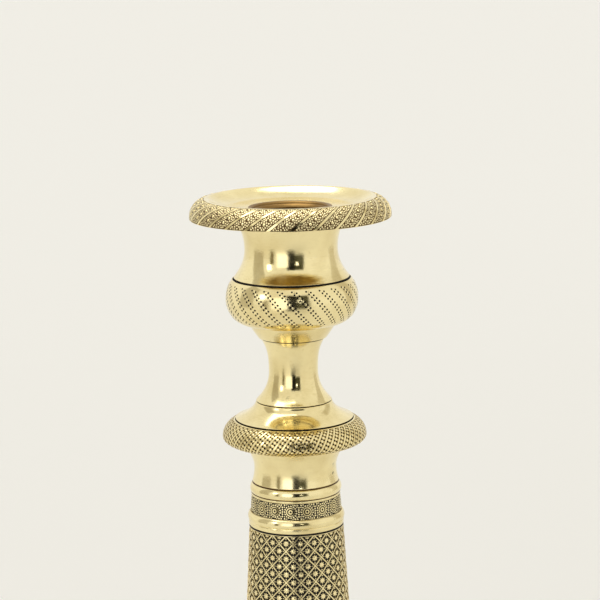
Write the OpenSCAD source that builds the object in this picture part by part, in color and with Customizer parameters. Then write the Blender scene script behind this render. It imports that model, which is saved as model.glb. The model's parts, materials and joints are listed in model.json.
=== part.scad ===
// Turned brass candlestick: a stack of lathe-turned rings on a hollow conical column,
// drawn together by an iron tie rod, with a loose drip pan dropped into the nozzle.
// Millimetres, +Z up, origin at the centre of the foot on the table.

/* [Overall] */
// Height of the drip pan's crest above the table
height = 272; // [255:1:300]
// Radius of the foot
foot_r = 65; // [64:0.5:72]

/* [Candle] */
// Radius of the bore that holds the candle
candle_r = 11.2; // [10.6:0.1:11.4]
// Length of the candle bore
candle_depth = 22; // [18:0.5:24]
// Thickness of the tube soldered into the drip pan
sleeve_wall = 1.1; // [0.8:0.1:1.2]
// Play between the tube and the nozzle, on the radius
sleeve_play = 0.3; // [0.1:0.05:0.4]

/* [Drip pan] */
// Radius of the engine-turned rim
pan_r = 32.45; // [31.5:0.05:34]
// Radius of the crest, where the rim turns into the dish
crest_r = 27; // [26:0.1:28]
// Radius of the rounded mouth in the dish
mouth_r = 13.1; // [12.9:0.05:13.6]

/* [Column and base] */
// Radius of the column at its top
column_top_r = 15.42; // [15.3:0.02:15.5]
// Growth of the column's radius per millimetre downwards
column_taper = 0.0552; // [0.052:0.0002:0.056]
// Thickness of the column's wall
column_wall = 1.8; // [1.6:0.05:2.2]
// Thickness of the base's shell
base_wall = 2; // [1.8:0.1:2.6]

/* [Fixings] */
// Radius of the tie rod
rod_r = 3; // [2.5:0.1:3.2]
// Width across flats of the nut
nut_flats = 11; // [9:0.5:13]

/* [Hidden] */
$fn = 96;

// Colours
brass = [0.83, 0.68, 0.36];
worn_brass = [0.62, 0.50, 0.26];
iron = [0.30, 0.29, 0.28];

// Heights of the stacked pieces, from the table up
base_h = 23;
base_ring_h = 10.4;
base_neck_h = 10;
lower_bead_h = 4.2;
lower_band_h = 6;
lower_astragal_h = 4.4;
upper_astragal_h = 4.4;
upper_band_h = 5.6;
upper_bead_h = 4.3;
upper_neck_h = 12.4;
collar_h = 8.4;
flange_h = 6;
waist_h = 25.7;
bulb_h = 14.8;
nozzle_neck_h = 21.2;
pan_h = 4.8;
column_h = height - base_h - base_ring_h - base_neck_h - lower_bead_h - lower_band_h
    - lower_astragal_h - upper_astragal_h - upper_band_h - upper_bead_h - upper_neck_h
    - collar_h - flange_h - waist_h - bulb_h - nozzle_neck_h - pan_h;

// Level of each piece's lower face
base_ring_z = base_h;
base_neck_z = base_ring_z + base_ring_h;
lower_bead_z = base_neck_z + base_neck_h;
lower_band_z = lower_bead_z + lower_bead_h;
lower_astragal_z = lower_band_z + lower_band_h;
column_z = lower_astragal_z + lower_astragal_h;
upper_astragal_z = column_z + column_h;
upper_band_z = upper_astragal_z + upper_astragal_h;
upper_bead_z = upper_band_z + upper_band_h;
upper_neck_z = upper_bead_z + upper_bead_h;
collar_z = upper_neck_z + upper_neck_h;
flange_z = collar_z + collar_h;
waist_z = flange_z + flange_h;
bulb_z = waist_z + waist_h;
nozzle_neck_z = bulb_z + bulb_h;
pan_z = nozzle_neck_z + nozzle_neck_h;

// Fits: a spigot is this much smaller than its socket, on the radius
fit = 0.05;
spigot_h = 1.6;
rod_play = 0.3;
rod_hole_r = rod_r + rod_play;
sleeve_r = candle_r + sleeve_wall;
nozzle_bore_r = sleeve_r + sleeve_play;
bulb_socket_r = nozzle_bore_r + 1.4;
ring_bore_r = 10.5;
ring_socket_r = 12;
low_bore_r = 16;
low_socket_r = 18;
base_neck_spigot_r = 26;
waist_spigot_r = 8;
flange_spigot_r = 14;
base_spigot_r = 24;
plug_h = 2.4;
plug_ledge = 0.6;
well_floor = 4.2;     // height of the well's floor above the bulb's lower face
rod_top = 18;         // how far the rod reaches into the waist
nut_h = 5;
washer_h = 1.5;
rod_tail = 3.5;       // rod left showing under the nut
base_plate_h = 2.5;   // thickness of the base's central plate
column_bottom_r = column_top_r + column_taper * column_h;
nut_z = base_h - base_plate_h - washer_h - nut_h;

// A circular or elliptical arc as points, angles in degrees from the +R direction
function arc(centre, rr, rz, from, to, steps = 8) =
    [for (i = [0 : steps]) let (a = from + (to - from) * i / steps)
        [centre[0] + rr * cos(a), centre[1] + rz * sin(a)]];

// A cubic curve as points; its first point is left to the piece of outline before it
function bend(p0, p1, p2, p3, steps = 8) =
    [for (i = [1 : steps]) let (t = i / steps, s = 1 - t)
        s * s * s * p0 + 3 * s * s * t * p1 + 3 * s * t * t * p2 + t * t * t * p3];

// Turns an outline of [radius, height] points and lifts it to its place in the stack
module turned(level, outline) {
    translate([0, 0, level])
        rotate_extrude()
            polygon(outline);
}

// ---- Drip pan and its tube ----

module drip_pan() {
    rim_edge = -1;      // level where the rim is widest
    skirt = -1.6;       // underside of the rim
    dish = 1.7;         // level of the dish floor
    crest_under = 2.9;  // hollow under the crest
    mouth_lip = mouth_r - sleeve_r;
    color(brass) turned(pan_z, concat(
        [[sleeve_r, 0], [21.5, 0]],
        bend([21.5, 0], [24, 0.2], [crest_r - 2, crest_under], [crest_r, crest_under], 6),
        bend([crest_r, crest_under], [29.4, crest_under], [30.7, 1.2], [pan_r - 1.4, skirt], 6),
        [[pan_r - 0.5, skirt], [pan_r - 0.1, -1.35]],
        arc([crest_r, rim_edge], pan_r - crest_r, pan_h - rim_edge, 0, 90, 14),
        bend([crest_r, pan_h], [25.6, pan_h], [24.2, dish + 0.3], [18.5, dish + 0.1], 10),
        [[mouth_r, dish]],
        arc([mouth_r, dish - mouth_lip], mouth_lip, mouth_lip, 90, 180, 4)
    ));
}

module candle_sleeve() {
    top = 0.9;          // just under the pan's rounded mouth
    color(worn_brass) turned(pan_z, [
        [sleeve_r, top],
        [candle_r, top - sleeve_wall],
        [candle_r, top - sleeve_wall - candle_depth],
        [sleeve_r - 0.4, top - sleeve_wall - candle_depth],
        [sleeve_r, top - sleeve_wall - candle_depth + 0.6]
    ]);
}

// ---- Nozzle ----

module nozzle_neck() {
    waist_r = 15.05;
    color(brass) turned(nozzle_neck_z, concat(
        [[bulb_socket_r, 0], [18.7, 0]],
        bend([18.7, 0], [16.6, 2.4], [waist_r, 5.4], [waist_r, 9.5]),
        bend([waist_r, 9.5], [waist_r, 13], [16, 16.8], [18.8, 20.4]),
        [[18.8, nozzle_neck_h - 0.3], [18.5, nozzle_neck_h], [nozzle_bore_r, nozzle_neck_h],
         [nozzle_bore_r, 2.6], [bulb_socket_r, 2.6]]
    ));
}

module nozzle_bulb() {
    centre = [14.6, 8.1];
    swell = 6.8;
    rise = 8.9;          // half height of the upper half; the lower half reaches the lower face
    ledge = 0.25;
    top_angle = asin((bulb_h - ledge - centre[1]) / rise);
    color(brass) turned(bulb_z, concat(
        [[nozzle_bore_r, 0]],
        arc(centre, swell, centre[1], -90, 0, 10),
        arc(centre, swell, rise, 5, top_angle, 8),
        [[18.4, bulb_h - ledge], [18.4, bulb_h], [bulb_socket_r - fit, bulb_h],
         [bulb_socket_r - fit, bulb_h + 2.4], [nozzle_bore_r, bulb_h + 2.4]]
    ));
}

module nozzle_waist() {
    throat_r = 8;
    color(brass) turned(waist_z, concat(
        [[rod_r + fit, 0], [rod_r + fit, -spigot_h], [waist_spigot_r - fit, -spigot_h],
         [waist_spigot_r - fit, 0], [12.4, 0]],
        bend([12.4, 0], [9.4, 2.9], [throat_r, 6], [throat_r, 9.8]),
        bend([throat_r, 9.8], [throat_r, 14], [9, 17.2], [10.4, 19.8]),
        [[11.3, 19.95]],
        bend([11.3, 19.95], [12.3, 20.9], [13.7, 23], [14.3, waist_h], 6),
        [[nozzle_bore_r - fit, waist_h], [nozzle_bore_r - fit, waist_h + well_floor],
         [nozzle_bore_r - 1.6, waist_h + well_floor], [nozzle_bore_r - 3.2, waist_h + well_floor - 1],
         [0, waist_h + well_floor - 1], [0, rod_top + 1], [rod_r + fit, rod_top]]
    ));
}

// ---- Knop between nozzle and column ----

module flange_disc() {
    edge_r = 19.2;
    color(brass) turned(waist_z - flange_h, concat(
        [[rod_hole_r, -spigot_h], [flange_spigot_r - fit, -spigot_h], [flange_spigot_r - fit, 0],
         [edge_r - 0.2, 0], [edge_r, 0.2]],
        bend([edge_r, 0.2], [17.2, 0.9], [13.2, 3.2], [12.5, 5.5]),
        [[12.05, 5.6], [12.05, flange_h], [waist_spigot_r, flange_h],
         [waist_spigot_r, flange_h - spigot_h - 0.2], [rod_hole_r, flange_h - spigot_h - 0.2]]
    ));
}

module knurled_collar() {
    roll_r = 6;
    roll_rise = 5.8;     // half height of the upper half; the lower half reaches the lower face
    roll_centre = [17.44, 2.9];
    high_angle = asin((collar_h - roll_centre[1]) / roll_rise);
    color(worn_brass) turned(collar_z, concat(
        [[ring_bore_r, -spigot_h], [ring_socket_r - fit, -spigot_h], [ring_socket_r - fit, 0]],
        arc(roll_centre, roll_r, roll_centre[1], -88, 0, 8),
        arc(roll_centre, roll_r, roll_rise, 6, high_angle, 8),
        [[flange_spigot_r, collar_h], [flange_spigot_r, collar_h - spigot_h - 0.2],
         [ring_bore_r, collar_h - spigot_h - 0.2]]
    ));
}

module upper_neck() {
    throat_r = 13.44;
    color(brass) turned(upper_neck_z, concat(
        [[ring_socket_r, 0], [14.15, 0]],
        bend([14.15, 0], [13.75, 1.2], [throat_r, 3], [throat_r, 4.8]),
        bend([throat_r, 4.8], [throat_r, 8.4], [13.7, 10.6], [14.9, upper_neck_h]),
        [[ring_socket_r, upper_neck_h]]
    ));
}

// ---- Mouldings at the two ends of the column ----

// Bead over a narrow flat, with a spigot at each end that fits a socket of the same radius
module bead_ring(level, h, bore, body_r, socket_r) {
    turned(level, concat(
        [[bore, -spigot_h], [socket_r - fit, -spigot_h], [socket_r - fit, 0],
         [body_r + 0.1, 0], [body_r + 0.1, 0.6], [body_r - 0.15, 0.75], [body_r, 0.95]],
        bend([body_r, 0.95], [body_r + 0.6, 1.4], [body_r + 0.7, 3], [body_r - 0.3, h - 0.25]),
        [[body_r - 0.6, h - 0.2], [body_r - 0.6, h], [socket_r - fit, h],
         [socket_r - fit, h + spigot_h], [bore, h + spigot_h]]
    ));
}

// Plain ring that carries the rosettes
module rosette_band(level, h, bore, low_r, high_r) {
    turned(level, [[bore, 0], [low_r, 0], [high_r, h], [bore, h]]);
}

module upper_bead_ring() {
    color(brass) bead_ring(upper_bead_z, upper_bead_h, ring_bore_r, 14.5, ring_socket_r);
}

module upper_rosette_band() {
    color(worn_brass) rosette_band(upper_band_z, upper_band_h, ring_socket_r, 14.9, 14.5);
}

module upper_astragal() {
    body_r = 15.55;
    color(brass) turned(upper_astragal_z, concat(
        [[ring_bore_r, 0], [body_r, 0], [body_r, 1.3], [body_r - 0.3, 1.45], [body_r - 0.25, 1.6]],
        bend([body_r - 0.25, 1.6], [body_r + 0.45, 2], [body_r + 0.45, 3.6],
            [body_r - 0.5, upper_astragal_h]),
        [[ring_socket_r - fit, upper_astragal_h], [ring_socket_r - fit, upper_astragal_h + spigot_h],
         [ring_bore_r, upper_astragal_h + spigot_h]]
    ));
}

module lower_astragal() {
    body_r = column_bottom_r + 0.25;
    color(brass) turned(lower_astragal_z, concat(
        [[low_bore_r, -spigot_h], [low_socket_r - fit, -spigot_h], [low_socket_r - fit, 0],
         [body_r - 0.3, 0]],
        bend([body_r - 0.3, 0], [body_r + 0.75, 0.7], [body_r + 0.75, 2.3], [body_r - 0.1, 2.75]),
        [[body_r - 0.2, 2.95], [body_r + 0.1, 3.1], [body_r + 0.1, lower_astragal_h],
         [low_bore_r, lower_astragal_h]]
    ));
}

module lower_rosette_band() {
    band_r = column_bottom_r - 0.1;
    color(worn_brass) rosette_band(lower_band_z, lower_band_h, low_socket_r, band_r, band_r - 0.1);
}

module lower_bead_ring() {
    color(brass) bead_ring(lower_bead_z, lower_bead_h, low_bore_r, column_bottom_r, low_socket_r);
}

// ---- Column ----

module column() {
    ledge_top = column_top_r - column_wall + plug_ledge;
    ledge_bottom = column_bottom_r - column_wall + plug_ledge;
    color(worn_brass) turned(column_z, [
        [ledge_bottom, 0],
        [column_bottom_r, 0],
        [column_top_r, column_h],
        [ledge_top, column_h],
        [ledge_top, column_h - plug_h],
        [column_top_r + column_taper * plug_h - column_wall, column_h - plug_h],
        [column_bottom_r - column_taper * plug_h - column_wall, plug_h],
        [ledge_bottom, plug_h]
    ]);
}

module column_top_plug() {
    plug_r = column_top_r - column_wall + plug_ledge - fit;
    color(worn_brass) turned(upper_astragal_z, [
        [rod_hole_r, -plug_h], [plug_r, -plug_h], [plug_r, 0], [ring_bore_r - fit, 0],
        [ring_bore_r - fit, 2], [rod_hole_r, 2]
    ]);
}

module column_bottom_plug() {
    plug_r = column_bottom_r - column_wall + plug_ledge - fit;
    color(worn_brass) turned(column_z, [
        [rod_hole_r, -2], [low_bore_r - fit, -2], [low_bore_r - fit, 0], [plug_r, 0],
        [plug_r, plug_h], [rod_hole_r, plug_h]
    ]);
}

// ---- Base ----

module base_neck() {
    throat_r = 19.9;
    color(brass) turned(base_neck_z, concat(
        [[low_socket_r, -spigot_h], [base_neck_spigot_r - fit, -spigot_h], [base_neck_spigot_r - fit, 0],
         [28.2, 0], [28.4, 0.3]],
        bend([28.4, 0.3], [25, 0.9], [throat_r, 3], [throat_r, 7]),
        bend([throat_r, 7], [throat_r, 8.4], [20.3, 9.4], [20.9, base_neck_h], 5),
        [[low_socket_r, base_neck_h]]
    ));
}

module base_knurled_ring() {
    roll_rz = base_ring_h / 2 + 0.35;
    roll_rr = 6.2;
    roll_centre = [27, base_ring_h / 2];
    end_angle = asin(roll_centre[1] / roll_rz);
    color(worn_brass) turned(base_ring_z, concat(
        [[base_spigot_r, 0]],
        arc(roll_centre, roll_rr, roll_rz, -end_angle, end_angle, 16),
        [[base_neck_spigot_r, base_ring_h], [base_neck_spigot_r, base_ring_h - spigot_h - 0.2],
         [base_spigot_r, base_ring_h - spigot_h - 0.2]]
    ));
}

module base() {
    band_in_r = foot_r - 13.4;    // crest of the engine-turned border
    band_top = 14.2;
    band_low = 4.6;               // top of the plain foot
    plate_r = 28;
    plate_z = base_h - base_plate_h;
    inner_r = band_in_r - 1;      // the shell's inside, under the crest
    inner_z = band_top - base_wall - 0.5;
    color(brass) turned(0, concat(
        [[rod_hole_r, plate_z], [plate_r, plate_z]],
        bend([plate_r, plate_z], [34, 19.9], [41, 12.8], [inner_r, inner_z]),
        bend([inner_r, inner_z], [58, 11.4], [61, 8], [foot_r - 3.2, band_low - 1]),
        [[foot_r - 3.8, 0.4], [foot_r - 3.4, 0], [foot_r - 0.6, 0], [foot_r, 0.6],
         [foot_r, band_low - 0.9], [foot_r - 0.7, band_low - 0.4], [foot_r - 0.9, band_low]],
        arc([band_in_r, band_low], foot_r - 0.9 - band_in_r, band_top - band_low, 6, 84, 14),
        [[band_in_r, band_top], [band_in_r - 0.5, band_top - 0.5], [band_in_r - 1, band_top - 0.35]],
        bend([band_in_r - 1, band_top - 0.35], [42.5, 14.6], [38, 21.6], [31.6, base_h - 0.4]),
        [[31.2, base_h], [base_spigot_r - fit, base_h], [base_spigot_r - fit, base_h + spigot_h],
         [rod_hole_r, base_h + spigot_h]]
    ));
}

// ---- Tie rod, washer and nut ----

module tie_rod() {
    foot = nut_z - rod_tail;
    tip = waist_z + rod_top - 0.5;
    color(iron) turned(0, [
        [0, foot], [rod_r - 0.6, foot], [rod_r, foot + 0.6], [rod_r, tip - 0.6], [rod_r - 0.6, tip], [0, tip]
    ]);
}

module tie_washer() {
    color(iron) turned(nut_z + nut_h, [[rod_hole_r, 0], [11, 0], [11, washer_h], [rod_hole_r, washer_h]]);
}

module tie_nut() {
    across_corners = nut_flats / cos(30);
    color(iron) translate([0, 0, nut_z]) difference() {
        cylinder(h = nut_h, d = across_corners, $fn = 6);
        translate([0, 0, -1]) cylinder(h = nut_h + 2, r = rod_r + fit);
    }
}

drip_pan();
candle_sleeve();
nozzle_neck();
nozzle_bulb();
nozzle_waist();
flange_disc();
knurled_collar();
upper_neck();
upper_bead_ring();
upper_rosette_band();
upper_astragal();
column_top_plug();
column();
column_bottom_plug();
lower_astragal();
lower_rosette_band();
lower_bead_ring();
base_neck();
base_knurled_ring();
base();
tie_rod();
tie_washer();
tie_nut();
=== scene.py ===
"""Looks of the turned brass candlestick.

Every turned piece is a smooth lathe mesh, with its engraving as real relief.
"""

import json
import math

import bpy
import numpy as np
from mathutils import Matrix, Vector
from mathutils.geometry import delaunay_2d_cdt

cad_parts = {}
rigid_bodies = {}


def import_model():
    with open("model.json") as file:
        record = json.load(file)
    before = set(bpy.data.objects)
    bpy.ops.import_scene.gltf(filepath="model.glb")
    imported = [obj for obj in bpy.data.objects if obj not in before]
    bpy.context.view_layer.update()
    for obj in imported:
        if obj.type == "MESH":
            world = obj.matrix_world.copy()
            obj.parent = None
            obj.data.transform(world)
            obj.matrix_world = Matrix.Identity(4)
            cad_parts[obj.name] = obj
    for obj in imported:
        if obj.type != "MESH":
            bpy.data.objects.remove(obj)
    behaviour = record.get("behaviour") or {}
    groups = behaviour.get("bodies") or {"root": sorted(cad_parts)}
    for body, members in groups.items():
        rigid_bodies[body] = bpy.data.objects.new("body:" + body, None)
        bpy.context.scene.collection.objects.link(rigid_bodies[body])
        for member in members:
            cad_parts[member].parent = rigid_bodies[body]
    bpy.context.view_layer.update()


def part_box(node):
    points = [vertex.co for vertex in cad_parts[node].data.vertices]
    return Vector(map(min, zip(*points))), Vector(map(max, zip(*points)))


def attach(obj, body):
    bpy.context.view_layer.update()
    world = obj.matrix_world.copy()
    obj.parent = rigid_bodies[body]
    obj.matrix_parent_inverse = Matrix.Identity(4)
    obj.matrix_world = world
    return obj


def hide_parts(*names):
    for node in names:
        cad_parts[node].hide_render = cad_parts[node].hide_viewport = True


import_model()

MM = 0.001
SPIGOT = 1.6             # the part of a piece that reaches down into the one below
TUBE_R = 12.3            # outside of the candle tube, and the pan's bore
NOZZLE_BORE_R = 12.6     # bore of the nozzle, which the tube slides in
ROD_HOLE_R = 3.05        # hole for the tie rod
SMOOTH = 280             # segments round a turned piece, a multiple of 28 and of 56
BODY, LOOSE = "candlestick", "bobeche"

# Parts of an engraved surface: what each is made of, and how its faces are shaded
TOP, WALL, GROUND, SHALLOW, SIDE, CAP, FACET_SIDE, FACET_CAP = range(8)
MADE_OF = {
    TOP: "polished", WALL: "worn", GROUND: "patina", SHALLOW: "seam", SIDE: "worn", CAP: "relief",
    FACET_SIDE: "worn", FACET_CAP: "relief",
}
FOLLOWS_SURFACE = (TOP, GROUND, SHALLOW)
ROUNDED = (SIDE, CAP)


# ---- Curves in the (radius, height) plane, in millimetres ----

def arc(centre, across, up, start, end, steps=32):
    """Points of an elliptical arc, angles in degrees from the outward direction."""
    angles = np.radians(np.linspace(start, end, steps + 1))
    return [(centre[0] + across * math.cos(a), centre[1] + up * math.sin(a)) for a in angles]


def bend(p0, p1, p2, p3, steps=24):
    """Points of a cubic curve, both ends included."""
    p0, p1, p2, p3 = (np.array(p, float) for p in (p0, p1, p2, p3))
    points = []
    for t in np.linspace(0, 1, steps + 1):
        s = 1 - t
        points.append(tuple(s**3 * p0 + 3 * s * s * t * p1 + 3 * s * t * t * p2 + t**3 * p3))
    return points


def curve_normals(points):
    """Unit normals to the right of the direction of travel, which is outwards for a profile run upwards."""
    p = np.array(points, float)
    tangent = np.gradient(p, axis=0)
    normal = np.stack([tangent[:, 1], -tangent[:, 0]], axis=1)
    return normal / np.linalg.norm(normal, axis=1, keepdims=True)


# ---- Engraving: one sector of a pattern, triangulated flat, then wrapped round the profile ----

class Sector:
    """One repeat of a pattern that covers a band of a turned surface.

    x runs round the piece and y up the profile, both in millimetres at the radius `at`. The sector is a
    parallelogram: its sides lean by `lean` in x from bottom to top, and its ends are cut into `cuts` equal
    parts.
    """

    def __init__(self, count, cuts, lean_cuts, height, at, side_steps=20, side_levels=None):
        self.count, self.cuts, self.lean_cuts = count, cuts, lean_cuts
        self.height, self.at = height, at
        self.width = 2 * math.pi * at / count
        self.lean = lean_cuts * self.width / cuts
        self.run = math.hypot(self.lean, height)              # length along the leaning centre line
        self.clear = self.width * height / self.run           # width square to it
        self.points, self.heights, self.faces, self.tags = [], [], [], []
        levels = side_levels or [(y, 0) for y in np.linspace(0, height, side_steps + 1)[1:-1]]
        self.bottom = [self.add(i * self.width / cuts, 0, 0) for i in range(cuts + 1)]
        self.top = [self.add(i * self.width / cuts + self.lean, height, 0) for i in range(cuts + 1)]
        self.left = [self.add(self.lean * y / height, y, h) for y, h in levels]
        self.right = [self.add(self.width + self.lean * y / height, y, h) for y, h in levels]
        self.outline(self.bottom + self.right + self.top[::-1] + self.left[::-1], TOP)

    def add(self, x, y, h):
        self.points.append((x, y))
        self.heights.append(h)
        return len(self.points) - 1

    def outline(self, indices, tag):
        self.faces.append(indices)
        self.tags.append(tag)

    def ring(self, points, h, tag):
        """A closed outline at height h; what lies inside it, down to the next outline, is `tag`."""
        self.outline([self.add(x, y, h) for x, y in points], tag)

    def along(self, a, b):
        """The point a millimetres up the sector's leaning centre line and b to its right."""
        ux, uy = self.lean / self.run, self.height / self.run
        return (self.width / 2 + a * ux + b * uy, a * uy - b * ux)

    def trench(self, half_width, margin):
        """Outline of a groove along the centre line, cut off level at a margin from the two ends."""
        ux, uy = self.lean / self.run, self.height / self.run
        corners = []
        for b, y in ((half_width, margin), (half_width, self.height - margin),
                     (-half_width, self.height - margin), (-half_width, margin)):
            a = (y + b * ux) / uy
            corners.append((self.width / 2 + a * ux + b * uy, y))
        return dense(corners, 0.8)

    def bead(self, centre, radius, floor, crown, sides):
        """A round bead standing on the floor, with its crown at that height."""
        shoulder_r, shoulder_rise = 0.80, 0.74        # shares of the bead's radius and of its rise
        self.ring(circle(centre, radius, sides), floor, SIDE)
        self.ring(circle(centre, radius * shoulder_r, sides), floor + (crown - floor) * shoulder_rise, CAP)
        self.add(*centre, crown)

    def pebble(self, centre, radius, floor, crown):
        """A small bead: only a low pointed cap, sunk in the ground, with rounded shading."""
        buried = 0.75                                 # share of the floor's depth that the ground fills
        self.ring(circle(centre, radius, 6), floor * (1 - buried), CAP)
        self.add(*centre, crown)

    def triangles(self):
        """Flat triangles of the sector: points, heights, corners and a tag for each."""
        flat = [Vector(p) for p in self.points]
        verts, _, faces, from_verts, _, from_faces = delaunay_2d_cdt(flat, [], self.faces, 1, 1e-5)
        floor = min(self.heights)
        heights = [self.heights[ids[-1]] if ids else floor for ids in from_verts]
        tags = [self.tags[max(ids)] for ids in from_faces]
        found = {i: new for new, ids in enumerate(from_verts) for i in ids}
        return np.array([tuple(v) for v in verts]), np.array(heights), np.array(faces), np.array(tags), found


def circle(centre, radius, sides, turn=0.0):
    return [(centre[0] + radius * math.cos(turn + 2 * math.pi * i / sides),
             centre[1] + radius * math.sin(turn + 2 * math.pi * i / sides)) for i in range(sides)]


def star(centre, long, short, tips=8):
    """Outline of a star with its rays of length long and the notches between them at short."""
    angles = [math.pi * k / tips for k in range(2 * tips)]
    reaches = [long, short] * tips
    return [(centre[0] + r * math.cos(a), centre[1] + r * math.sin(a)) for a, r in zip(angles, reaches)]


def dense(corners, step):
    """The closed outline with points added so that no side is longer than step."""
    points = []
    for (x0, y0), (x1, y1) in zip(corners, corners[1:] + corners[:1]):
        parts = max(1, math.ceil(math.hypot(x1 - x0, y1 - y0) / step))
        points += [(x0 + (x1 - x0) * i / parts, y0 + (y1 - y0) * i / parts) for i in range(parts)]
    return points


def reach(profile, at):
    """Length of the profile as the pattern sees it: it shrinks with the radius, so that round stays round."""
    return float(wrap_table(profile)[-1] * at)


def wrap_table(profile):
    """Path along the profile, divided by the radius, at each of its points."""
    p = np.array(profile, float)
    step = np.linalg.norm(np.diff(p, axis=0), axis=1)
    middle = (p[1:, 0] + p[:-1, 0]) / 2
    return np.concatenate([[0], np.cumsum(step / middle)])


def unit(vectors):
    return vectors / np.maximum(np.linalg.norm(vectors, axis=1, keepdims=True), 1e-12)


# ---- A turned piece ----

class Turned:
    """Mesh of a turned piece, built stretch by stretch along its closed outline."""

    def __init__(self, level, segments=SMOOTH):
        self.level, self.segments = level, segments
        self.angles = 2 * math.pi * np.arange(segments) / segments
        self.points, self.count = [], 0
        self.corners, self.sizes, self.tips, self.slots = [], [], [], []
        self.names = []
        self.first = self.last = None

    def put(self, radius, z, angle):
        """Adds points given round the axis and returns their indices."""
        radius, z, angle = np.broadcast_arrays(radius, z, angle)
        x, y = radius * np.cos(angle), radius * np.sin(angle)
        self.points.append(np.stack([x, y, z + self.level], axis=-1))
        self.count += len(angle)
        return np.arange(self.count - len(angle), self.count)

    def circle(self, point):
        """Indices of the circle of points at an outline point, or of one point repeated on the axis."""
        if point[0] < 1e-6:
            return np.repeat(self.put(0.0, point[1], np.zeros(1)), self.segments)
        return self.put(point[0], point[1], self.angles)

    def start_circle(self, point):
        if self.last is None:
            self.first_point, self.first = point, self.circle(point)
            self.last = self.first
        return self.last

    def end_circle(self, point):
        return self.first if math.dist(point, self.first_point) < 1e-6 else self.circle(point)

    def add_faces(self, corners, tips, materials):
        """Adds faces: corner indices, a normal for each corner, and material names, one or one each."""
        names = [materials] * len(corners) if isinstance(materials, str) else materials
        for name in dict.fromkeys(names):
            if name not in self.names:
                self.names.append(name)
        lookup = {name: i for i, name in enumerate(self.names)}
        self.slots.append(np.array([lookup[name] for name in names]))
        self.corners.append(corners.reshape(-1))
        self.sizes.append(np.full(len(corners), corners.shape[1]))
        self.tips.append(tips.reshape(-1, 3))

    def run(self, material, points):
        """A smooth stretch of the outline; its two ends are sharp edges."""
        normals = curve_normals(points)
        cos, sin = np.cos(self.angles), np.sin(self.angles)
        after = np.roll(np.arange(self.segments), -1)
        below, low = self.start_circle(points[0]), normals[0]
        for point, high in zip(points[1:], normals[1:]):
            above = self.end_circle(point) if point is points[-1] else self.circle(point)
            lows = np.stack([low[0] * cos, low[0] * sin, np.full_like(cos, low[1])], axis=1)
            highs = np.stack([high[0] * cos, high[0] * sin, np.full_like(cos, high[1])], axis=1)
            corners = [(below, lows), (below[after], lows[after]),
                       (above[after], highs[after]), (above, highs)]
            if below[0] == below[1]:
                corners.pop(1)
            elif above[0] == above[1]:
                corners.pop(2)
            indices, tips = (np.stack(part, axis=1) for part in zip(*corners))
            self.add_faces(indices, tips, material)
            below, low = above, high
        self.last = below

    def flats(self, material, corners):
        """Straight stretches of the outline from corner to corner, with a sharp edge at each."""
        for ends in zip(corners, corners[1:]):
            self.run(material, list(ends))

    def engraved(self, profile, sector):
        """A stretch of the outline covered by a sector's pattern, repeated all the way round."""
        flat, heights, triangles, tags, found = sector.triangles()
        table = wrap_table(profile)
        p, n = np.array(profile, float), curve_normals(profile)
        t = np.clip(flat[:, 1] / sector.at, 0, table[-1])
        r, z, nr, nz = (np.interp(t, table, c) for c in (p[:, 0], p[:, 1], n[:, 0], n[:, 1]))
        radius, level, angle = r + heights * nr, z + heights * nz, flat[:, 0] / sector.at

        places = np.stack([radius * np.cos(angle), radius * np.sin(angle), level], axis=1)
        surface = np.stack([nr * np.cos(angle), nr * np.sin(angle), nz], axis=1)
        a, b, c = (places[triangles[:, i]] for i in range(3))
        facet = np.cross(b - a, c - a)
        is_round, is_surface = np.isin(tags, ROUNDED), np.isin(tags, FOLLOWS_SURFACE)
        rounded = np.zeros_like(places)
        for i in range(3):
            np.add.at(rounded, triangles[is_round, i], facet[is_round])
        facet, rounded = unit(facet), unit(rounded)
        tips = np.repeat(facet[:, None, :], 3, axis=1)
        tips[is_round] = rounded[triangles[is_round]]
        tips[is_surface] = surface[triangles[is_surface]]

        bottom, top = self.start_circle(profile[0]), self.end_circle(profile[-1])
        turns = 2 * math.pi * np.arange(sector.count) / sector.count
        ids = np.full((sector.count, len(flat)), -1)
        steps = np.arange(sector.count)[:, None] * sector.cuts + np.arange(sector.cuts + 1)
        ids[:, [found[i] for i in sector.bottom]] = bottom[steps % self.segments]
        ids[:, [found[i] for i in sector.top]] = top[(steps + sector.lean_cuts) % self.segments]
        right, left = [found[i] for i in sector.right], [found[i] for i in sector.left]
        own = np.setdiff1d(np.flatnonzero(ids[0] < 0), right)
        for copy, turn in enumerate(turns):
            ids[copy, own] = self.put(radius[own], level[own], angle[own] + turn)
        ids[:, right] = np.roll(ids[:, left], -1, axis=0)
        metals = [MADE_OF[tag] for tag in tags]
        for copy, turn in enumerate(turns):
            cos, sin = math.cos(turn), math.sin(turn)
            spin = np.array([[cos, sin, 0], [-sin, cos, 0], [0, 0, 1]])
            self.add_faces(ids[copy][triangles], tips @ spin, metals)
        self.last = top

    def jump(self, point):
        """Goes on from another point of the axis, without faces between."""
        self.last = self.circle(point)

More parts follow.
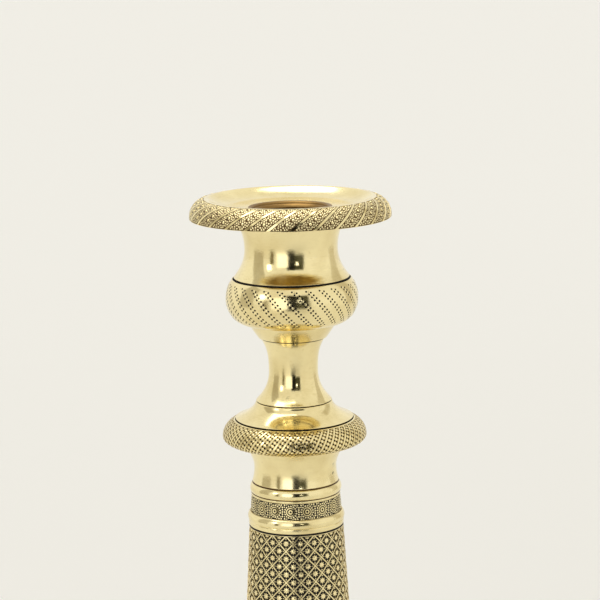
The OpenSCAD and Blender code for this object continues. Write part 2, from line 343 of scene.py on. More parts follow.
    def finish(self, name, body, node, metals):
        """Makes the piece, which stands for a CAD node."""
        points, corners = np.concatenate(self.points) * MM, np.concatenate(self.corners)
        sizes = np.concatenate(self.sizes)
        mesh = bpy.data.meshes.new(name)
        mesh.vertices.add(len(points))
        mesh.vertices.foreach_set("co", points.ravel())
        mesh.loops.add(len(corners))
        mesh.loops.foreach_set("vertex_index", corners)
        mesh.polygons.add(len(sizes))
        mesh.polygons.foreach_set("loop_start", np.concatenate([[0], np.cumsum(sizes)[:-1]]))
        for metal in self.names:
            mesh.materials.append(metals[metal])
        mesh.polygons.foreach_set("material_index", np.concatenate(self.slots))
        mesh.update(calc_edges=True)
        mesh.polygons.foreach_set("use_smooth", np.ones(len(sizes), bool))
        mesh.normals_split_custom_set(np.concatenate(self.tips))
        piece = bpy.data.objects.new(name, mesh)
        bpy.context.scene.collection.objects.link(piece)
        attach(piece, body)
        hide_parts(node)
        return piece


# ---- Patterns ----

def granulated(count, cuts, lean_cuts, profile, at, size=1.0, depth=0.34):
    """Leaning ribs with a dark ground full of beads between: a row of large ones, small ones round them."""
    height = reach(profile, at)
    sector = Sector(count, cuts, lean_cuts, height, at, side_steps=24)
    rib, slope, margin = 0.33 * size, 0.08, 0.12
    half = sector.clear / 2 - rib
    sector.ring(sector.trench(half, margin), 0, WALL)
    sector.ring(sector.trench(half - slope, margin + slope), -depth, SHALLOW)
    pitch, large, small, gap = 2.3 * size, 0.54 * size, 0.30 * size, 0.08 * size
    first_row, large_crown, small_crown = 0.4, 0.10 * size, 0.05
    placed = []

    def free(centre, radius):
        clear = margin + slope + 0.03 + radius
        inside = clear <= centre[1] <= height - clear
        return inside and all(math.dist(centre, c) > radius + r + gap for c, r in placed)

    rows = [(row + first_row) * pitch for row in range(-1, int(sector.run / pitch) + 2)]
    for row in rows:
        centre = sector.along(row, 0)
        if free(centre, large):
            placed.append((centre, large))
            sector.bead(centre, large, -depth, large_crown, 10)
    ring = large + gap * 1.02 + small
    spots = [sector.along(row + a, b) for row in rows for a, b in circle((0, 0), ring, 7)]
    edge = half - slope - 0.06 - small
    stretch = np.arange(-2 * half, sector.run + 2 * half, 0.1)
    spots += [sector.along(a, b) for b in (-edge, edge, 0) for a in stretch]
    spots += [sector.along(a, b) for a in stretch for b in np.arange(-edge, edge, 0.12)]
    for radius in (small, 0.7 * small):
        for centre in spots:
            if free(centre, radius):
                placed.append((centre, radius))
                sector.pebble(centre, radius, -depth, small_crown)
    return sector


def paired_pits(count, cuts, lean_cuts, profile, at, apart, pit, pitch, sunk=0.0, plain_lines=0):
    """Leaning lines of punched pits, two by two, with a low bead raised between one pair and the next.

    With sunk, each line lies that deep in a shallow groove, which leaves ribs between the lines. With
    plain_lines, the plain metal between has points of its own, so that it follows the curve of the piece.
    """
    depth, lip, bead_rise = 0.30, 0.16, 0.09
    height = reach(profile, at)
    sector = Sector(count, cuts, lean_cuts, height, at, side_steps=24)
    pairs = round((sector.run - 0.4) / pitch)
    first = (sector.run - (pairs - 1) * pitch) / 2
    bead = math.hypot(pitch / 2, apart) - pit - 0.05
    if sunk:
        sector.ring(sector.trench(apart + pit + 0.06, 0.10), 0, WALL)
        sector.ring(sector.trench(apart + pit + 0.02, 0.14), -sunk, WALL)
    for k in range(pairs):
        for side in (-1, 1):
            centre = sector.along(first + k * pitch, side * apart)
            if pit + lip < centre[1] < height - pit - lip:
                sector.ring(circle(centre, pit, 8), -sunk, GROUND)
                sector.ring(circle(centre, pit * 0.8, 8), -depth, GROUND)
        middle = sector.along(first + (k + 0.5) * pitch, 0)
        if bead + lip < middle[1] < height - bead - lip:
            sector.ring(circle(middle, bead, 10), -sunk, CAP)
            sector.add(*middle, bead_rise - sunk)
    inner = apart + pit + 0.05
    for line in range(plain_lines):
        b = inner + (sector.clear / 2 - inner) * line / plain_lines
        for a in np.linspace(0, sector.run, 26)[1:-1]:
            for side in (-1, 1):
                x, y = sector.along(a, side * b)
                if 0.05 < y < height - 0.05:
                    sector.add(x, y, 0)
    return sector


def lattice(count, cuts, rows, profile, at):
    """Diamonds between crossing ribs, each with an eight-pointed star and a dot in every corner."""
    depth, height = 0.36, reach(profile, at)
    sector = Sector(count, cuts, rows * cuts, height, at, side_steps=rows * 4)
    half_w, half_h = sector.width / 2, height / rows / 2
    side = half_w * half_h / math.hypot(half_w, half_h)
    rib, slope = 0.19, 0.06
    foot, face, face_h, crown = (1.22, 0.64), (1.13, 0.56), -0.06, 0.03      # a star, by its long and short reach
    end_foot, end_face, end_face_h = (1.0, 0.68), (0.84, 0.52), -0.08        # the half stars at the two ends
    dots = ((0.63, 0, 0.19), (-0.63, 0, 0.19), (0, 0.63, 0.24), (0, -0.63, 0.24))       # x, y and radius

    def diamond(centre, inset):
        """Outline of a diamond drawn in by inset; the first and last rows have half diamonds."""
        q = 1 - inset / side
        x, y = centre
        corners = [(x + half_w * q, y), (x, y + half_h * q), (x - half_w * q, y), (x, y - half_h * q)]
        cut = half_w * q * (1 - inset / (half_h * q))
        if y < half_h / 2:
            corners = [(x + cut, inset), (x, y + half_h * q), (x - cut, inset)]
        elif y > height - half_h / 2:
            corners = [(x + cut, y - inset), (x - cut, y - inset), (x, y - half_h * q)]
        return dense(corners, 1.2)

    for step in range(2 * rows + 1):
        centre = (half_w * (step + 1), half_h * step)
        sector.ring(diamond(centre, rib), 0, WALL)
        sector.ring(diamond(centre, rib + slope), -depth, GROUND)
        if 0 < step < 2 * rows:
            sector.ring(star(centre, *foot), -depth, FACET_SIDE)
            sector.ring(star(centre, *face), face_h, FACET_CAP)
            sector.add(*centre, crown)
        else:
            inset, first = (rib + slope + 0.03, 0) if step == 0 else (-rib - slope - 0.03, 8)
            middle, inward = (centre[0], centre[1] + inset), math.copysign(0.08, inset)
            for reaches, h, up, tag in ((end_foot, -depth, 0, FACET_SIDE), (end_face, end_face_h, inward, FACET_CAP)):
                whole = star(middle, *reaches)
                half = whole[first:first + 8] + [whole[(first + 8) % 16]]
                sector.ring([(x, y + up) for x, y in half], h, tag)
        for dx, dy, radius in dots:
            dot = (centre[0] + dx * half_w, centre[1] + dy * half_h)
            if 0.6 < dot[1] < height - 0.6:
                sector.pebble(dot, radius, -depth, 0.0)
    return sector


def rosettes(count, cuts, profile, at):
    """Round rosettes ringed with beads, and pearls in what is left between them."""
    depth, height = 0.30, reach(profile, at)
    margin, slope = 0.10, 0.06
    sides = [(margin, 0), (margin + slope, -depth), (height / 2, -depth), (height - margin - slope, -depth),
             (height - margin, 0)]
    sector = Sector(count, cuts, 0, height, at, side_levels=sides)
    w = sector.width
    size = w / 5.43                                   # the radii below suit a sector 5.43 mm wide
    for inset, h, tag in ((margin, 0, WALL), (margin + slope, -depth, GROUND)):
        sector.ring([(0, inset), (w / 2, inset), (w, inset), (w, height / 2), (w, height - inset),
                     (w / 2, height - inset), (0, height - inset), (0, height / 2)], h, tag)
    middle = height / 2
    outer, pearl, small = 2.26 * size, 0.31 * size, 0.22 * size
    centre, groove = (outer + 0.03, middle), 0.22
    for r, h, tag in ((1.50, -depth, SIDE), (1.46, 0, TOP), (1.14, 0, GROUND), (1.08, -groove, GROUND),
                      (0.80, -groove, SIDE), (0.76, 0, TOP), (0.34, 0, GROUND), (0.28, -groove, GROUND)):
        sector.ring(circle(centre, r * size, 24), h, tag)
    sector.add(*centre, -groove)
    placed = [(centre, 1.50 * size)]
    gap, crown = 0.12, 0.04
    for place in circle(centre, 1.95 * size, 15, math.pi / 15):
        placed.append((place, pearl))
        sector.pebble(place, pearl, -depth, crown)
    low = margin + slope + 0.05
    spots = [(w - 0.43 * size, y, pearl) for y in np.arange(middle, low + pearl, -2 * pearl - 0.13)]
    spots += [(x, y, r) for r in (pearl, small) for x in np.arange(r + 0.03, w - r - 0.02, 0.08)
              for y in np.arange(low + r, middle + 0.05, 0.08)]
    for x, y, r in spots:
        for place in ((x, y), (x, height - y)):
            if all(math.dist(place, c) > r + other + gap for c, other in placed):
                placed.append((place, r))
                sector.pebble(place, r, -depth, crown)
    return sector


# ---- Pieces, from the top down; outlines are (radius, height above the piece's lower face) ----

def foot_of(node, below=0.0):
    """Level of a piece's lower face, given how much of the piece reaches down past it."""
    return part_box(node)[0][2] / MM + below


def drip_pan(metals):
    drop, crest = 1.6, 4     # how far the rim hangs below the seat, and how many steps its plain crest has
    pan = Turned(foot_of("drip_pan", drop))
    pan.run("worn", [(TUBE_R, 0), (21.5, 0)] + bend((21.5, 0), (24, 0.2), (25, 2.9), (27, 2.9))[1:]
            + bend((27, 2.9), (29.4, 2.9), (30.7, 1.2), (31.05, -drop))[1:])
    pan.run("polished", [(31.05, -drop), (31.95, -drop)])
    rim = arc((27, -1), 5.45, 5.8, -5.9, 90, 64)
    pan.run("polished", [(31.95, -drop), rim[0]])
    cover = rim[:-crest]
    pan.engraved(cover, granulated(count=28, cuts=10, lean_cuts=16, profile=cover, at=30))
    pan.run("polished", rim[-crest - 1:] + bend((27, 4.8), (25.6, 4.8), (24.2, 2.0), (18.5, 1.8), 32)[1:]
            + [(13.5, 1.7)])
    # the lip of the hole is painted dark brown: painted shade falling into the mouth
    pan.run("dark_bore", arc((13.5, 0.9), 1.2, 0.8, 90, 180, 8))
    pan.run("worn", [(TUBE_R, 0.9), (TUBE_R, 0)])
    return pan.finish("drip_pan_turned", LOOSE, "drip_pan", metals)


def candle_sleeve(metals):
    low, wall = foot_of("candle_sleeve"), 1.1
    length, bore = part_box("candle_sleeve")[1][2] / MM - low, TUBE_R - wall
    tube = Turned(low)
    tube.run("worn", [(11.9, 0), (TUBE_R, 0.6), (TUBE_R, 4)])
    tube.run("worn", [(TUBE_R, 4), (TUBE_R, length)])
    # the inside of the tube is painted dark brown: painted shade in the bore
    tube.run("dark_bore", [(TUBE_R, length), (11.6, length - 0.25), (bore, length - wall)])
    tube.run("dark_bore", [(bore, length - wall), (bore, length / 2), (bore, 0)])
    tube.run("worn", [(bore, 0), (11.9, 0)])
    return tube.finish("candle_tube", LOOSE, "candle_sleeve", metals)


def nozzle_neck(metals):
    neck = Turned(foot_of("nozzle_neck"))
    neck.run("worn", [(14, 0), (18.4, 0)])
    neck.run("patina", [(18.4, 0), (18.4, 0.22)])
    neck.run("polished", [(18.4, 0.22), (18.68, 0.25), (18.66, 0.34)]
             + bend((18.6, 0.4), (16.95, 2.7), (15.05, 5.2), (15.05, 9.5), 44)
             + bend((15.05, 9.5), (15.05, 13), (16, 16.8), (18.8, 20.4), 40)[1:])
    neck.run("polished", [(18.8, 20.4), (18.85, 20.65), (18.8, 20.9), (18.5, 21.2)])
    neck.run("polished", [(18.5, 21.2), (NOZZLE_BORE_R, 21.2)])
    # the bore is painted dark brown: painted shade in the hole
    neck.run("dark_bore", [(NOZZLE_BORE_R, 21.2), (NOZZLE_BORE_R, 2.6)])
    neck.flats("worn", [(NOZZLE_BORE_R, 2.6), (14, 2.6), (14, 0)])
    return neck.finish("nozzle_neck_turned", BODY, "nozzle_neck", metals)


def nozzle_bulb(metals):
    bulb = Turned(foot_of("nozzle_bulb"))
    swell = arc((14.6, 8.1), 6.8, 8.1, -90, 0, 54) + arc((14.6, 8.1), 6.8, 8.9, 1.7, 46.4, 27)
    start, stop = 22, 79     # the engraving's first and last point
    bulb.run("worn", [(NOZZLE_BORE_R, 0), (14.6, 0)])
    bulb.run("polished", swell[:start + 1])
    cover = swell[start:stop + 1]
    bulb.engraved(cover, paired_pits(count=28, cuts=10, lean_cuts=-25, profile=cover, at=20.5,
                                     apart=0.46, pit=0.33, pitch=1.26, plain_lines=4))
    bulb.run("polished", swell[stop:])
    bulb.run("polished", [swell[-1], (19.1, 14.55)])
    bulb.run("patina", [(19.1, 14.55), (18.4, 14.5), (18.4, 14.8)])
    bulb.flats("worn", [(18.4, 14.8), (13.95, 14.8), (13.95, 17.2), (NOZZLE_BORE_R, 17.2)])
    # the bore is painted dark brown: painted shade in the hole
    bulb.run("dark_bore", [(NOZZLE_BORE_R, 17.2), (NOZZLE_BORE_R, 0)])
    return bulb.finish("nozzle_bulb_engraved", BODY, "nozzle_bulb", metals)


def nozzle_waist(metals):
    waist = Turned(foot_of("nozzle_waist", SPIGOT))
    waist.flats("worn", [(ROD_HOLE_R, 0), (ROD_HOLE_R, -SPIGOT), (7.95, -SPIGOT), (7.95, 0), (12.1, 0)])
    waist.run("patina", [(12.1, 0), (12.1, 0.14)])
    waist.run("polished", [(12.1, 0.14), (12.3, 0.18), (12.28, 0.3)]
              + bend((12.2, 0.4), (9.5, 3.1), (8, 6), (8, 9.8), 36)
              + bend((8, 9.8), (8, 14.4), (8.3, 17.4), (10.4, 20.6), 36)[1:])
    waist.run("patina", [(10.4, 20.6), (10.3, 20.66), (10.3, 21.0), (11.18, 21.02)])
    waist.run("polished", bend((11.18, 21.02), (12.3, 22.6), (13.35, 24.1), (14.3, 25.7), 26))
    waist.flats("worn", [(14.3, 25.7), (12.55, 25.7), (12.55, 29.9)])
    waist.run("worn", [(12.55, 29.9), (11.0, 29.9), (9.4, 28.9), (0, 28.9)])
    waist.jump((0, 19))
    waist.flats("worn", [(0, 19), (ROD_HOLE_R, 18), (ROD_HOLE_R, 0)])
    return waist.finish("nozzle_waist_turned", BODY, "nozzle_waist", metals)


def flange_disc(metals):
    disc = Turned(foot_of("flange_disc", SPIGOT))
    disc.flats("worn", [(3.3, -SPIGOT), (13.95, -SPIGOT), (13.95, 0), (18.6, 0)])
    disc.run("patina", [(18.6, 0), (18.65, 0.34), (18.95, 0.36)])
    disc.run("polished", [(18.95, 0.36), (19.14, 0.4), (19.16, 0.5)])
    disc.run("polished", bend((19.16, 0.5), (17.2, 1.05), (13.2, 3.2), (12.5, 5.5), 44)
             + [(12.42, 5.75), (12.2, 5.85)])
    disc.run("patina", [(12.2, 5.85), (12.05, 5.86), (12.05, 6)])
    disc.flats("worn", [(12.05, 6), (8, 6), (8, 4.2), (3.3, 4.2), (3.3, -SPIGOT)])
    return disc.finish("flange_turned", BODY, "flange_disc", metals)


def knurled_collar(metals):
    collar = Turned(foot_of("knurled_collar", SPIGOT))
    roll = arc((17.44, 2.9), 6, 2.9, -88, 0, 40) + arc((17.44, 2.9), 6, 5.8, 2, 71.5, 40)
    start, stop = 8, -2      # the engraving's first point, and the end of its slice
    collar.flats("worn", [(10.5, -SPIGOT), (11.95, -SPIGOT), (11.95, 0), roll[0]])
    collar.run("polished", roll[:start + 1])
    cover = roll[start:stop]
    collar.engraved(cover, paired_pits(count=56, cuts=5, lean_cuts=16, profile=cover, at=23,
                                       apart=0.44, pit=0.34, pitch=1.34, sunk=0.08))
    collar.run("polished", roll[stop - 1:])
    collar.run("patina", [roll[-1], (18.6, 8.4)])
    collar.flats("worn", [(18.6, 8.4), (14, 8.4), (14, 6.6), (10.5, 6.6), (10.5, -SPIGOT)])
    return collar.finish("knurled_collar_engraved", BODY, "knurled_collar", metals)


def upper_neck(metals):
    neck = Turned(foot_of("upper_neck"))
    neck.run("worn", [(12, 0), (13.9, 0)])
    neck.run("seam", [(13.9, 0), (13.9, 0.15)])
    neck.run("polished", [(13.9, 0.15), (14.1, 0.2)]
             + bend((14.08, 0.35), (13.75, 1.3), (13.44, 3), (13.44, 4.8), 24)
             + bend((13.44, 4.8), (13.44, 7.2), (14.4, 9.0), (16.4, 12.4), 36)[1:])
    neck.flats("worn", [(16.4, 12.4), (12, 12.4), (12, 0)])
    return neck.finish("upper_neck_turned", BODY, "upper_neck", metals)


def bead_ring(name, node, bore, body_r, socket_r, metals):
    """A bead over a narrow flat, with a spigot at each end."""
    low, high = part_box(node)[0][2] / MM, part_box(node)[1][2] / MM
    h, spigot_r, r = high - low - 2 * SPIGOT, socket_r - 0.05, body_r
    ring = Turned(low + SPIGOT)
    ring.flats("worn", [(bore, -SPIGOT), (spigot_r, -SPIGOT), (spigot_r, 0), (r + 0.02, 0)])
    ring.run("polished", [(r + 0.02, 0), (r + 0.1, 0.08), (r + 0.1, 0.56), (r + 0.05, 0.62)])
    ring.run("seam", [(r + 0.05, 0.62), (r - 0.15, 0.72), (r - 0.02, 0.88)])
    ring.run("polished", bend((r - 0.02, 0.88), (r + 0.6, 1.4), (r + 0.7, 3), (r - 0.3, h - 0.3), 28))
    ring.run("seam", [(r - 0.3, h - 0.3), (r - 0.5, h - 0.16), (r - 0.62, h)])
    ring.flats("worn", [(r - 0.62, h), (spigot_r, h), (spigot_r, h + SPIGOT),
                        (bore, h + SPIGOT), (bore, -SPIGOT)])
    return ring.finish(name, BODY, node, metals)


def rosette_band(name, node, bore, low_r, high_r, count, cuts, metals):
    """Plain ring cut with a row of rosettes."""
    low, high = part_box(node)[0][2] / MM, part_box(node)[1][2] / MM
    h = high - low
    wall = [(low_r, 0.06), (low_r + (high_r - low_r) / 2, h / 2), (high_r, h - 0.06)]
    band = Turned(low, count * cuts)
    band.flats("worn", [(bore, 0), (low_r - 0.06, 0), wall[0]])
    band.engraved(wall, rosettes(count, cuts, wall, low_r))
    band.flats("worn", [wall[-1], (high_r - 0.06, h), (bore, h), (bore, 0)])
    return band.finish(name, BODY, node, metals)


def upper_astragal(metals):
    r = 15.55
    ring = Turned(foot_of("upper_astragal"))
    ring.run("worn", [(10.5, 0), (r - 0.1, 0)])
    ring.run("polished", [(r - 0.1, 0), (r, 0.1), (r, 1.2), (r - 0.06, 1.3)])
    ring.run("polished", [(r - 0.06, 1.3), (r - 0.16, 1.42), (r - 0.12, 1.6)])
    ring.run("polished", bend((r - 0.12, 1.6), (r + 0.45, 2), (r + 0.45, 3.6), (r - 0.5, 4.4), 30))
    ring.flats("worn", [(r - 0.5, 4.4), (11.95, 4.4), (11.95, 6), (10.5, 6), (10.5, 0)])
    return ring.finish("upper_astragal_turned", BODY, "upper_astragal", metals)


def lower_astragal(body_r, metals):
    r = body_r + 0.25
    ring = Turned(foot_of("lower_astragal", SPIGOT))
    ring.flats("worn", [(16, -SPIGOT), (17.95, -SPIGOT), (17.95, 0), (r - 0.35, 0)])
    ring.run("polished", bend((r - 0.35, 0), (r + 0.75, 0.7), (r + 0.75, 2.3), (r - 0.1, 2.75), 30))
    ring.run("patina", [(r - 0.1, 2.75), (r - 0.3, 2.93), (r, 3.08)])
    ring.run("polished", [(r, 3.08), (r + 0.1, 3.18), (r + 0.1, 4.3), (r, 4.4)])
    ring.flats("worn", [(r, 4.4), (16, 4.4), (16, -SPIGOT)])
    return ring.finish("lower_astragal_turned", BODY, "lower_astragal", metals)


def column(low_r, high_r, metals):
    low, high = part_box("column")[0][2] / MM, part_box("column")[1][2] / MM
    h, wall_t, ledge, seat = high - low, 1.8, 0.6, 2.4
    taper = (low_r - high_r) / h
    plain_low, plain_high = 0.35, 0.65
    wall = [(low_r - taper * z, z) for z in np.linspace(plain_low, h - plain_high, 60)]
    low_seat_r, high_seat_r = low_r - wall_t + ledge, high_r - wall_t + ledge
    tube = Turned(low, 252)
    tube.run("worn", [(low_seat_r, 0), (low_r - 0.2, 0)])
    tube.run("patina", [(low_r - 0.2, 0), wall[0]])
    tube.engraved(wall, lattice(count=21, cuts=12, rows=18, profile=wall, at=15.6))
    tube.run("patina", [wall[-1], (high_r - 0.32, h)])
    tube.flats("worn", [(high_r - 0.32, h), (high_seat_r, h), (high_seat_r, h - seat),
                        (high_r + taper * seat - wall_t, h - seat), (low_r - taper * seat - wall_t, seat),
                        (low_seat_r, seat), (low_seat_r, 0)])
    return tube.finish("column_engraved", BODY, "column", metals)


def base_neck(metals):
    neck = Turned(foot_of("base_neck", SPIGOT))
    neck.flats("worn", [(18, -SPIGOT), (25.95, -SPIGOT), (25.95, 0)])
    neck.flats("patina", [(25.95, 0), (28, 0), (28.1, 0.25)])
    neck.run("polished", [(28.1, 0.25), (28.35, 0.3), (28.4, 0.42)])
    neck.run("polished", bend((28.4, 0.42), (25, 0.95), (19.9, 3), (19.9, 7), 40)
             + bend((19.9, 7), (19.9, 8.4), (20.3, 9.4), (20.9, 10), 16)[1:])
    neck.flats("worn", [(20.9, 10), (18, 10), (18, -SPIGOT)])
    return neck.finish("base_neck_turned", BODY, "base_neck", metals)


def base_knurled_ring(metals):
    h = 10.4
    end = math.degrees(math.asin((h / 2) / (h / 2 + 0.35)))
    roll = arc((27, h / 2), 6.2, h / 2 + 0.35, -end, end, 72)
    edge = 3                 # steps left plain at either edge
    ring = Turned(foot_of("base_knurled_ring"))
    ring.run("worn", [(24, 0), roll[0]])
    ring.run("polished", roll[:edge + 1])
    cover = roll[edge:-edge]
    ring.engraved(cover, paired_pits(count=70, cuts=4, lean_cuts=10, profile=cover, at=32,
                                     apart=0.50, pit=0.38, pitch=1.46, sunk=0.08))
    ring.run("polished", roll[-edge - 1:])
    ring.flats("worn", [roll[-1], (26, h), (26, 8.6), (24, 8.6), (24, 0)])
    return ring.finish("base_knurled_ring_engraved", BODY, "base_knurled_ring", metals)


def base(metals):
    crest_r, crest_z, foot_r, plate_z, top_z = 51.6, 14.2, 65, 20.5, 23
    foot = Turned(0, 448)
    border = arc((crest_r, 4.6), 12.5, 9.6, 6, 84, 60)
    foot.run("worn", [(3.3, plate_z), (28, plate_z)]
             + bend((28, plate_z), (34, 19.9), (41, 12.8), (50.6, 11.7))[1:]
             + bend((50.6, 11.7), (58, 11.4), (61, 8), (61.8, 3.6))[1:] + [(61.2, 0.4)])
    foot.run("worn", [(61.2, 0.4), (61.3, 0.1), (61.6, 0)])
    foot.run("worn", [(61.6, 0), (foot_r - 0.6, 0)])
    foot.run("polished", arc((foot_r - 0.6, 0.6), 0.6, 0.6, -90, 0, 6))
    foot.run("polished", [(foot_r, 0.6), (foot_r, 3.5)])
    foot.run("polished", arc((foot_r - 0.5, 3.5), 0.5, 0.6, 0, 90, 6))
    foot.run("patina", [(foot_r - 0.5, 4.1), (foot_r - 1.15, 4.3), (foot_r - 1.1, 4.7)])
    foot.run("polished", [(foot_r - 1.1, 4.7)] + border[:2])
    cover = border[1:-1]
    foot.engraved(cover, granulated(count=56, cuts=8, lean_cuts=13, profile=cover, at=60,
                                    size=1.6, depth=0.5))
    foot.run("polished", border[-2:] + [(crest_r, crest_z)])
    foot.run("patina", [(crest_r, crest_z), (crest_r - 0.55, crest_z - 0.5), (crest_r - 1, crest_z - 0.35)])
    foot.run("polished",
             bend((crest_r - 1, crest_z - 0.35), (42.5, 14.6), (38, 21.6), (31.6, top_z - 0.4), 60)
             + [(31.35, top_z - 0.1), (31.2, top_z)])
    foot.flats("worn", [(31.2, top_z), (23.95, top_z), (23.95, top_z + SPIGOT),
                        (3.3, top_z + SPIGOT), (3.3, plate_z)])
    return foot.finish("base_engraved", BODY, "base", metals)


# ---- Materials ----

def node(tree, kind, inputs=None, **settings):
    """Adds a shader node; an input may be a value or another node's socket."""
    made = tree.nodes.new(kind)
    for key, value in settings.items():
        setattr(made, key, value)
    for key, value in (inputs or {}).items():
        if isinstance(value, bpy.types.NodeSocket):
            tree.links.new(value, made.inputs[key])
        else:
            made.inputs[key].default_value = value
    return made


def noise(tree, place, scale, detail, roughness=0.5):
    inputs = {"Vector": place, "Scale": scale, "Detail": detail, "Roughness": roughness}
    return node(tree, "ShaderNodeTexNoise", inputs).outputs["Fac"]


def remap(tree, value, given, wanted):
    """Value with the range given stretched to the range wanted, and clamped to it."""
    names = ("Value", "From Min", "From Max", "To Min", "To Max")
    return node(tree, "ShaderNodeMapRange", dict(zip(names, (value, *given, *wanted)))).outputs["Result"]


def blend(tree, amount, first, second):
    """Colour that goes from the first to the second; each is a colour or a socket."""
    return node(tree, "ShaderNodeMix", {0: amount, "A": first, "B": second}, data_type="RGBA").outputs["Result"]


def new_metal(name, rough):
    """A metal whose roughness wanders between two values, with its tree, shader and coordinates."""
    material = bpy.data.materials.new(name)
    material.use_nodes = True
    tree = material.node_tree
    shader = tree.nodes["Principled BSDF"]
    shader.inputs["Metallic"].default_value = 1.0
    place = node(tree, "ShaderNodeTexCoord").outputs["Object"]
    wear = remap(tree, noise(tree, place, 170.0, 4.0), (0.35, 0.68), rough)
    tree.links.new(wear, shader.inputs["Roughness"])
    return material, tree, shader, place


def turning_marks(tree, place, across=9000.0, around=5.0):
    """Noise drawn out round the axis, as a lathe tool and polishing leave it."""
    vector, number = "ShaderNodeVectorMath", "ShaderNodeMath"
    z = node(tree, "ShaderNodeSeparateXYZ", {"Vector": place}).outputs["Z"]
    flat = node(tree, vector, {0: place, 1: (1.0, 1.0, 0.0)}, operation="MULTIPLY").outputs["Vector"]
    outward = node(tree, vector, {0: flat}, operation="NORMALIZE").outputs["Vector"]
    radius = node(tree, vector, {0: flat}, operation="LENGTH").outputs["Value"]
    rise = node(tree, number, {0: z, 1: radius}, operation="ADD").outputs["Value"]
    lift = node(tree, number, {0: rise, 1: across}, operation="MULTIPLY").outputs["Value"]
    up = node(tree, "ShaderNodeCombineXYZ", {"Z": lift}).outputs["Vector"]
    drawn = node(tree, vector, {0: outward, 1: (around, around, 0.0), 2: up}, operation="MULTIPLY_ADD")
    return noise(tree, drawn.outputs["Vector"], 1.0, 3.0)


def relief(tree, shader, heights):
    """Adds bumps, each given as its height map, depth in metres and strength."""
    normal = None
    for height, depth, strength in heights:
        bump = node(tree, "ShaderNodeBump", {"Height": height, "Distance": depth, "Strength": strength})
        if normal:
            tree.links.new(normal, bump.inputs["Normal"])
        normal = bump.outputs["Normal"]
    tree.links.new(normal, shader.inputs["Normal"])


def polished_brass(name, clean, tarnished, rough, dullness=1.0):
    """Lathe-turned brass, rubbed bright: turning marks, specks, clouds of tarnish, a few corroded blotches."""
    material, tree, shader, place = new_metal(name, rough)
    marks, specks = turning_marks(tree, place), noise(tree, place, 900.0, 3.0)
    clouds = remap(tree, noise(tree, place, 75.0, 5.0, 0.6), (0.40, 0.75), (0.0, 0.6 * dullness))
    spots = remap(tree, specks, (0.62, 0.74), (0.0, 0.5 * dullness))
    lines = remap(tree, marks, (0.5, 0.8), (0.0, 0.25 * dullness))
    worst = node(tree, "ShaderNodeMath", {0: clouds, 1: spots}, operation="MAXIMUM").outputs["Value"]
    tarnish = node(tree, "ShaderNodeMath", {0: worst, 1: lines}, operation="ADD", use_clamp=True).outputs["Value"]
    corroded = remap(tree, noise(tree, place, 130.0, 5.0, 0.65), (0.685, 0.72), (0.0, 0.8))
    brass = blend(tree, tarnish, (*clean, 1), (*tarnished, 1))
    tree.links.new(blend(tree, corroded, brass, (0.12, 0.115, 0.05, 1)), shader.inputs["Base Color"])
    relief(tree, shader, [(marks, 0.00002, 0.5), (specks, 0.00003, 0.25)])
    return material


def plain_metal(name, colour, rough, grain=0.00004, metallic=1.0, glint=0.5):
    """Metal of one colour with an uneven, slightly pitted surface."""
    material, tree, shader, place = new_metal(name, rough)
    shader.inputs["Base Color"].default_value = (*colour, 1)
    shader.inputs["Metallic"].default_value = metallic
    shader.inputs["Specular IOR Level"].default_value = glint
    relief(tree, shader, [(noise(tree, place, 1500.0, 4.0), grain, 0.8)])
    return material


def make_metals():
    """The materials, by the names that the stretches of the outlines use."""
    return {
        "polished": polished_brass("polished_brass", (0.97, 0.84, 0.47), (0.68, 0.53, 0.22), (0.09, 0.19)),
        "worn": polished_brass("worn_brass", (0.62, 0.48, 0.20), (0.35, 0.25, 0.09), (0.28, 0.45), 1.3),
        "relief": plain_metal("relief_brass", (0.97, 0.83, 0.46), (0.16, 0.30)),
        "patina": plain_metal("patina", (0.012, 0.009, 0.006), (0.6, 0.8), 0.00006, 0.0, 0.25),
        "seam": plain_metal("seam_tarnish", (0.13, 0.075, 0.025), (0.4, 0.6), 0.00004, 0.8),
        # painted shade: dark brown metal for the insides of the bores and the lip of the pan's hole, where shade
        # falls
        "dark_bore": plain_metal("dark_bore", (0.26, 0.155, 0.05), (0.30, 0.5), 0.00006),
        "iron": plain_metal("iron", (0.25, 0.23, 0.21), (0.42, 0.62), 0.00008),
    }


# ---- Stage ----

def staged(name, corners, shader, visible):
    """A flat sheet that belongs to the studio and not to the object."""
    mesh = bpy.data.meshes.new(name)
    mesh.from_pydata([tuple(c) for c in corners], [], [(0, 1, 2, 3)])
    mesh.materials.append(shader)
    sheet = bpy.data.objects.new(name, mesh)
    sheet.visible_camera = visible
    bpy.context.scene.collection.objects.link(sheet)


def glowing(name, colour, strength):
    material = bpy.data.materials.new(name)
    material.use_nodes = True
    tree = material.node_tree
    tree.nodes.remove(tree.nodes["Principled BSDF"])
    light = node(tree, "ShaderNodeEmission", {"Color": (*colour, 1), "Strength": strength})
    tree.links.new(light.outputs["Emission"], tree.nodes["Material Output"].inputs["Surface"])
    return material


def card(name, azimuth, distance, level, size, colour, strength=1.0):
    """An upright card facing the axis, which the brass reflects and the camera doesn't see.

    Its azimuth is in degrees from the camera's side, rightwards.
    """
    side = math.radians(azimuth)
    away = Vector((math.sin(side), -math.cos(side), 0))
    centre = away * distance + Vector((0, 0, level))
    across = Vector((-away.y, away.x, 0)) * size[0] / 2
    up = Vector((0, 0, size[1] / 2))
    corners = [centre - across - up, centre + across - up, centre + across + up, centre - across + up]
    staged(name, corners, glowing(name, colour, strength), False)


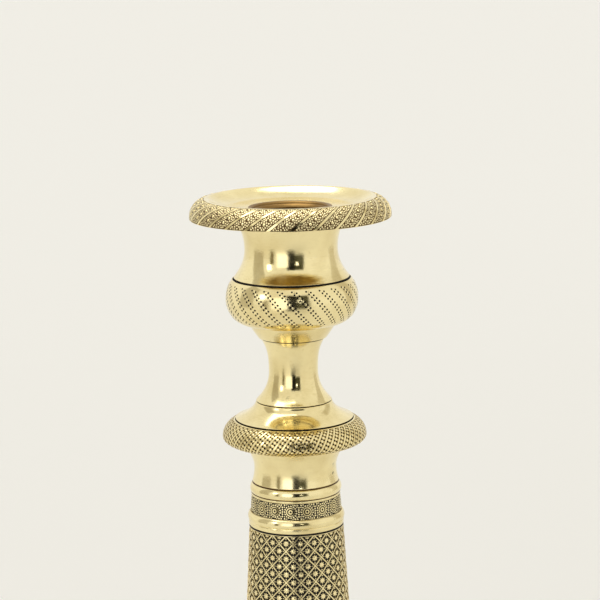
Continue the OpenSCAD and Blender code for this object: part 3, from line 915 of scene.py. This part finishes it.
def area_light(name, place, target, size, watts, colour, on_floor=True):
    """A soft lamp; with on_floor off, it shows in the brass and doesn't light the floor."""
    data = bpy.data.lights.new(name, "AREA")
    data.shape = "RECTANGLE"
    data.size, data.size_y = size
    data.energy, data.color = watts, colour
    lamp = bpy.data.objects.new(name, data)
    lamp.location = place
    lamp.visible_diffuse = on_floor
    lamp.rotation_euler = (Vector(target) - Vector(place)).to_track_quat("-Z", "Y").to_euler()
    bpy.context.scene.collection.objects.link(lamp)


def make_stage():
    """Pale floor and soft studio light, with the darker side of the room round the camera."""
    world = bpy.data.worlds.new("studio")
    bpy.context.scene.world = world
    world.use_nodes = True
    sky = world.node_tree.nodes["Background"]
    sky.inputs["Color"].default_value = (0.925, 0.91, 0.865, 1)
    sky.inputs["Strength"].default_value = 1.0
    paper = bpy.data.materials.new("paper")
    paper.use_nodes = True
    shader = paper.node_tree.nodes["Principled BSDF"]
    shader.inputs["Base Color"].default_value = (0.945, 0.935, 0.90, 1)
    shader.inputs["Roughness"].default_value = 0.9
    far = 30
    staged("floor", [(-far, -far, 0), (far, -far, 0), (far, far, 0), (-far, far, 0)], paper, True)
    target = (0, 0, 0.2)
    area_light("overhead", (-0.2, 0.1, 1.5), target, (1.2, 1.1), 9.5, (1, 0.98, 0.95), on_floor=False)
    area_light("window", (-1.3, -0.9, 0.9), target, (0.3, 0.4), 1.2, (1, 0.99, 0.97))

    wall = (0.93, 0.87, 0.74)
    card("wall_left", -86, 1.2, 0.75, (0.66, 1.5), wall, 0.58)
    card("wall_right", 118, 1.2, 0.75, (0.50, 1.5), wall, 0.70)
    card("camera_body", -1, 0.88, 0.42, (0.30, 0.84), (0.012, 0.012, 0.010))
    card("photographer", 19, 0.90, 0.46, (0.36, 0.74), (0.065, 0.065, 0.04))
    card("assistant", -47, 0.95, 0.25, (0.16, 0.50), (0.20, 0.17, 0.10))
    card("softbox", -21, 0.84, 0.36, (0.40, 0.56), (1, 1, 1), 1.6)
    card("lamp", 14, 0.82, 0.46, (0.06, 0.09), (1, 1, 1), 5.0)


def make_camera():
    """A long lens a little above the rim, tipped down and rolled very slightly, as in the photo."""
    down, roll = math.radians(10.54), math.radians(-1.10)
    data = bpy.data.cameras.new("camera")
    data.lens, data.sensor_width = 138.33, 36
    camera = bpy.data.objects.new("camera", data)
    camera.location = (0.00257, -0.73135, 0.3744)
    tilt = Matrix.Rotation(math.radians(90) - down, 4, "X") @ Matrix.Rotation(roll, 4, "Z")
    camera.rotation_euler = tilt.to_euler()
    bpy.context.scene.collection.objects.link(camera)
    bpy.context.scene.camera = camera


def main():
    make_camera()
    make_stage()
    bpy.context.scene.view_settings.view_transform = "Standard"
    metals = make_metals()
    high_r, low_r = 15.42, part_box("column")[1][0] / MM          # of the column
    for make in (drip_pan, candle_sleeve, nozzle_neck, nozzle_bulb, nozzle_waist, flange_disc, knurled_collar,
                 upper_neck):
        make(metals)
    bead_ring("upper_bead_ring_turned", "upper_bead_ring", bore=10.5, body_r=14.5, socket_r=12, metals=metals)
    rosette_band("upper_rosette_band_engraved", "upper_rosette_band", bore=12, low_r=14.9, high_r=14.5,
                 count=17, cuts=16, metals=metals)
    upper_astragal(metals)
    column(low_r, high_r, metals)
    lower_astragal(low_r, metals)
    rosette_band("lower_rosette_band_engraved", "lower_rosette_band", bore=18, low_r=low_r - 0.1,
                 high_r=low_r - 0.2, count=24, cuts=12, metals=metals)
    bead_ring("lower_bead_ring_turned", "lower_bead_ring", bore=16, body_r=low_r, socket_r=18, metals=metals)
    base_neck(metals)
    base_knurled_ring(metals)
    base(metals)
    for name, metal in (("column_top_plug", "worn"), ("column_bottom_plug", "worn"), ("tie_rod", "iron"),
                        ("tie_washer", "iron"), ("tie_nut", "iron")):
        carried = bpy.data.objects[name]
        carried.data.materials.clear()
        carried.data.materials.append(metals[metal])


main()
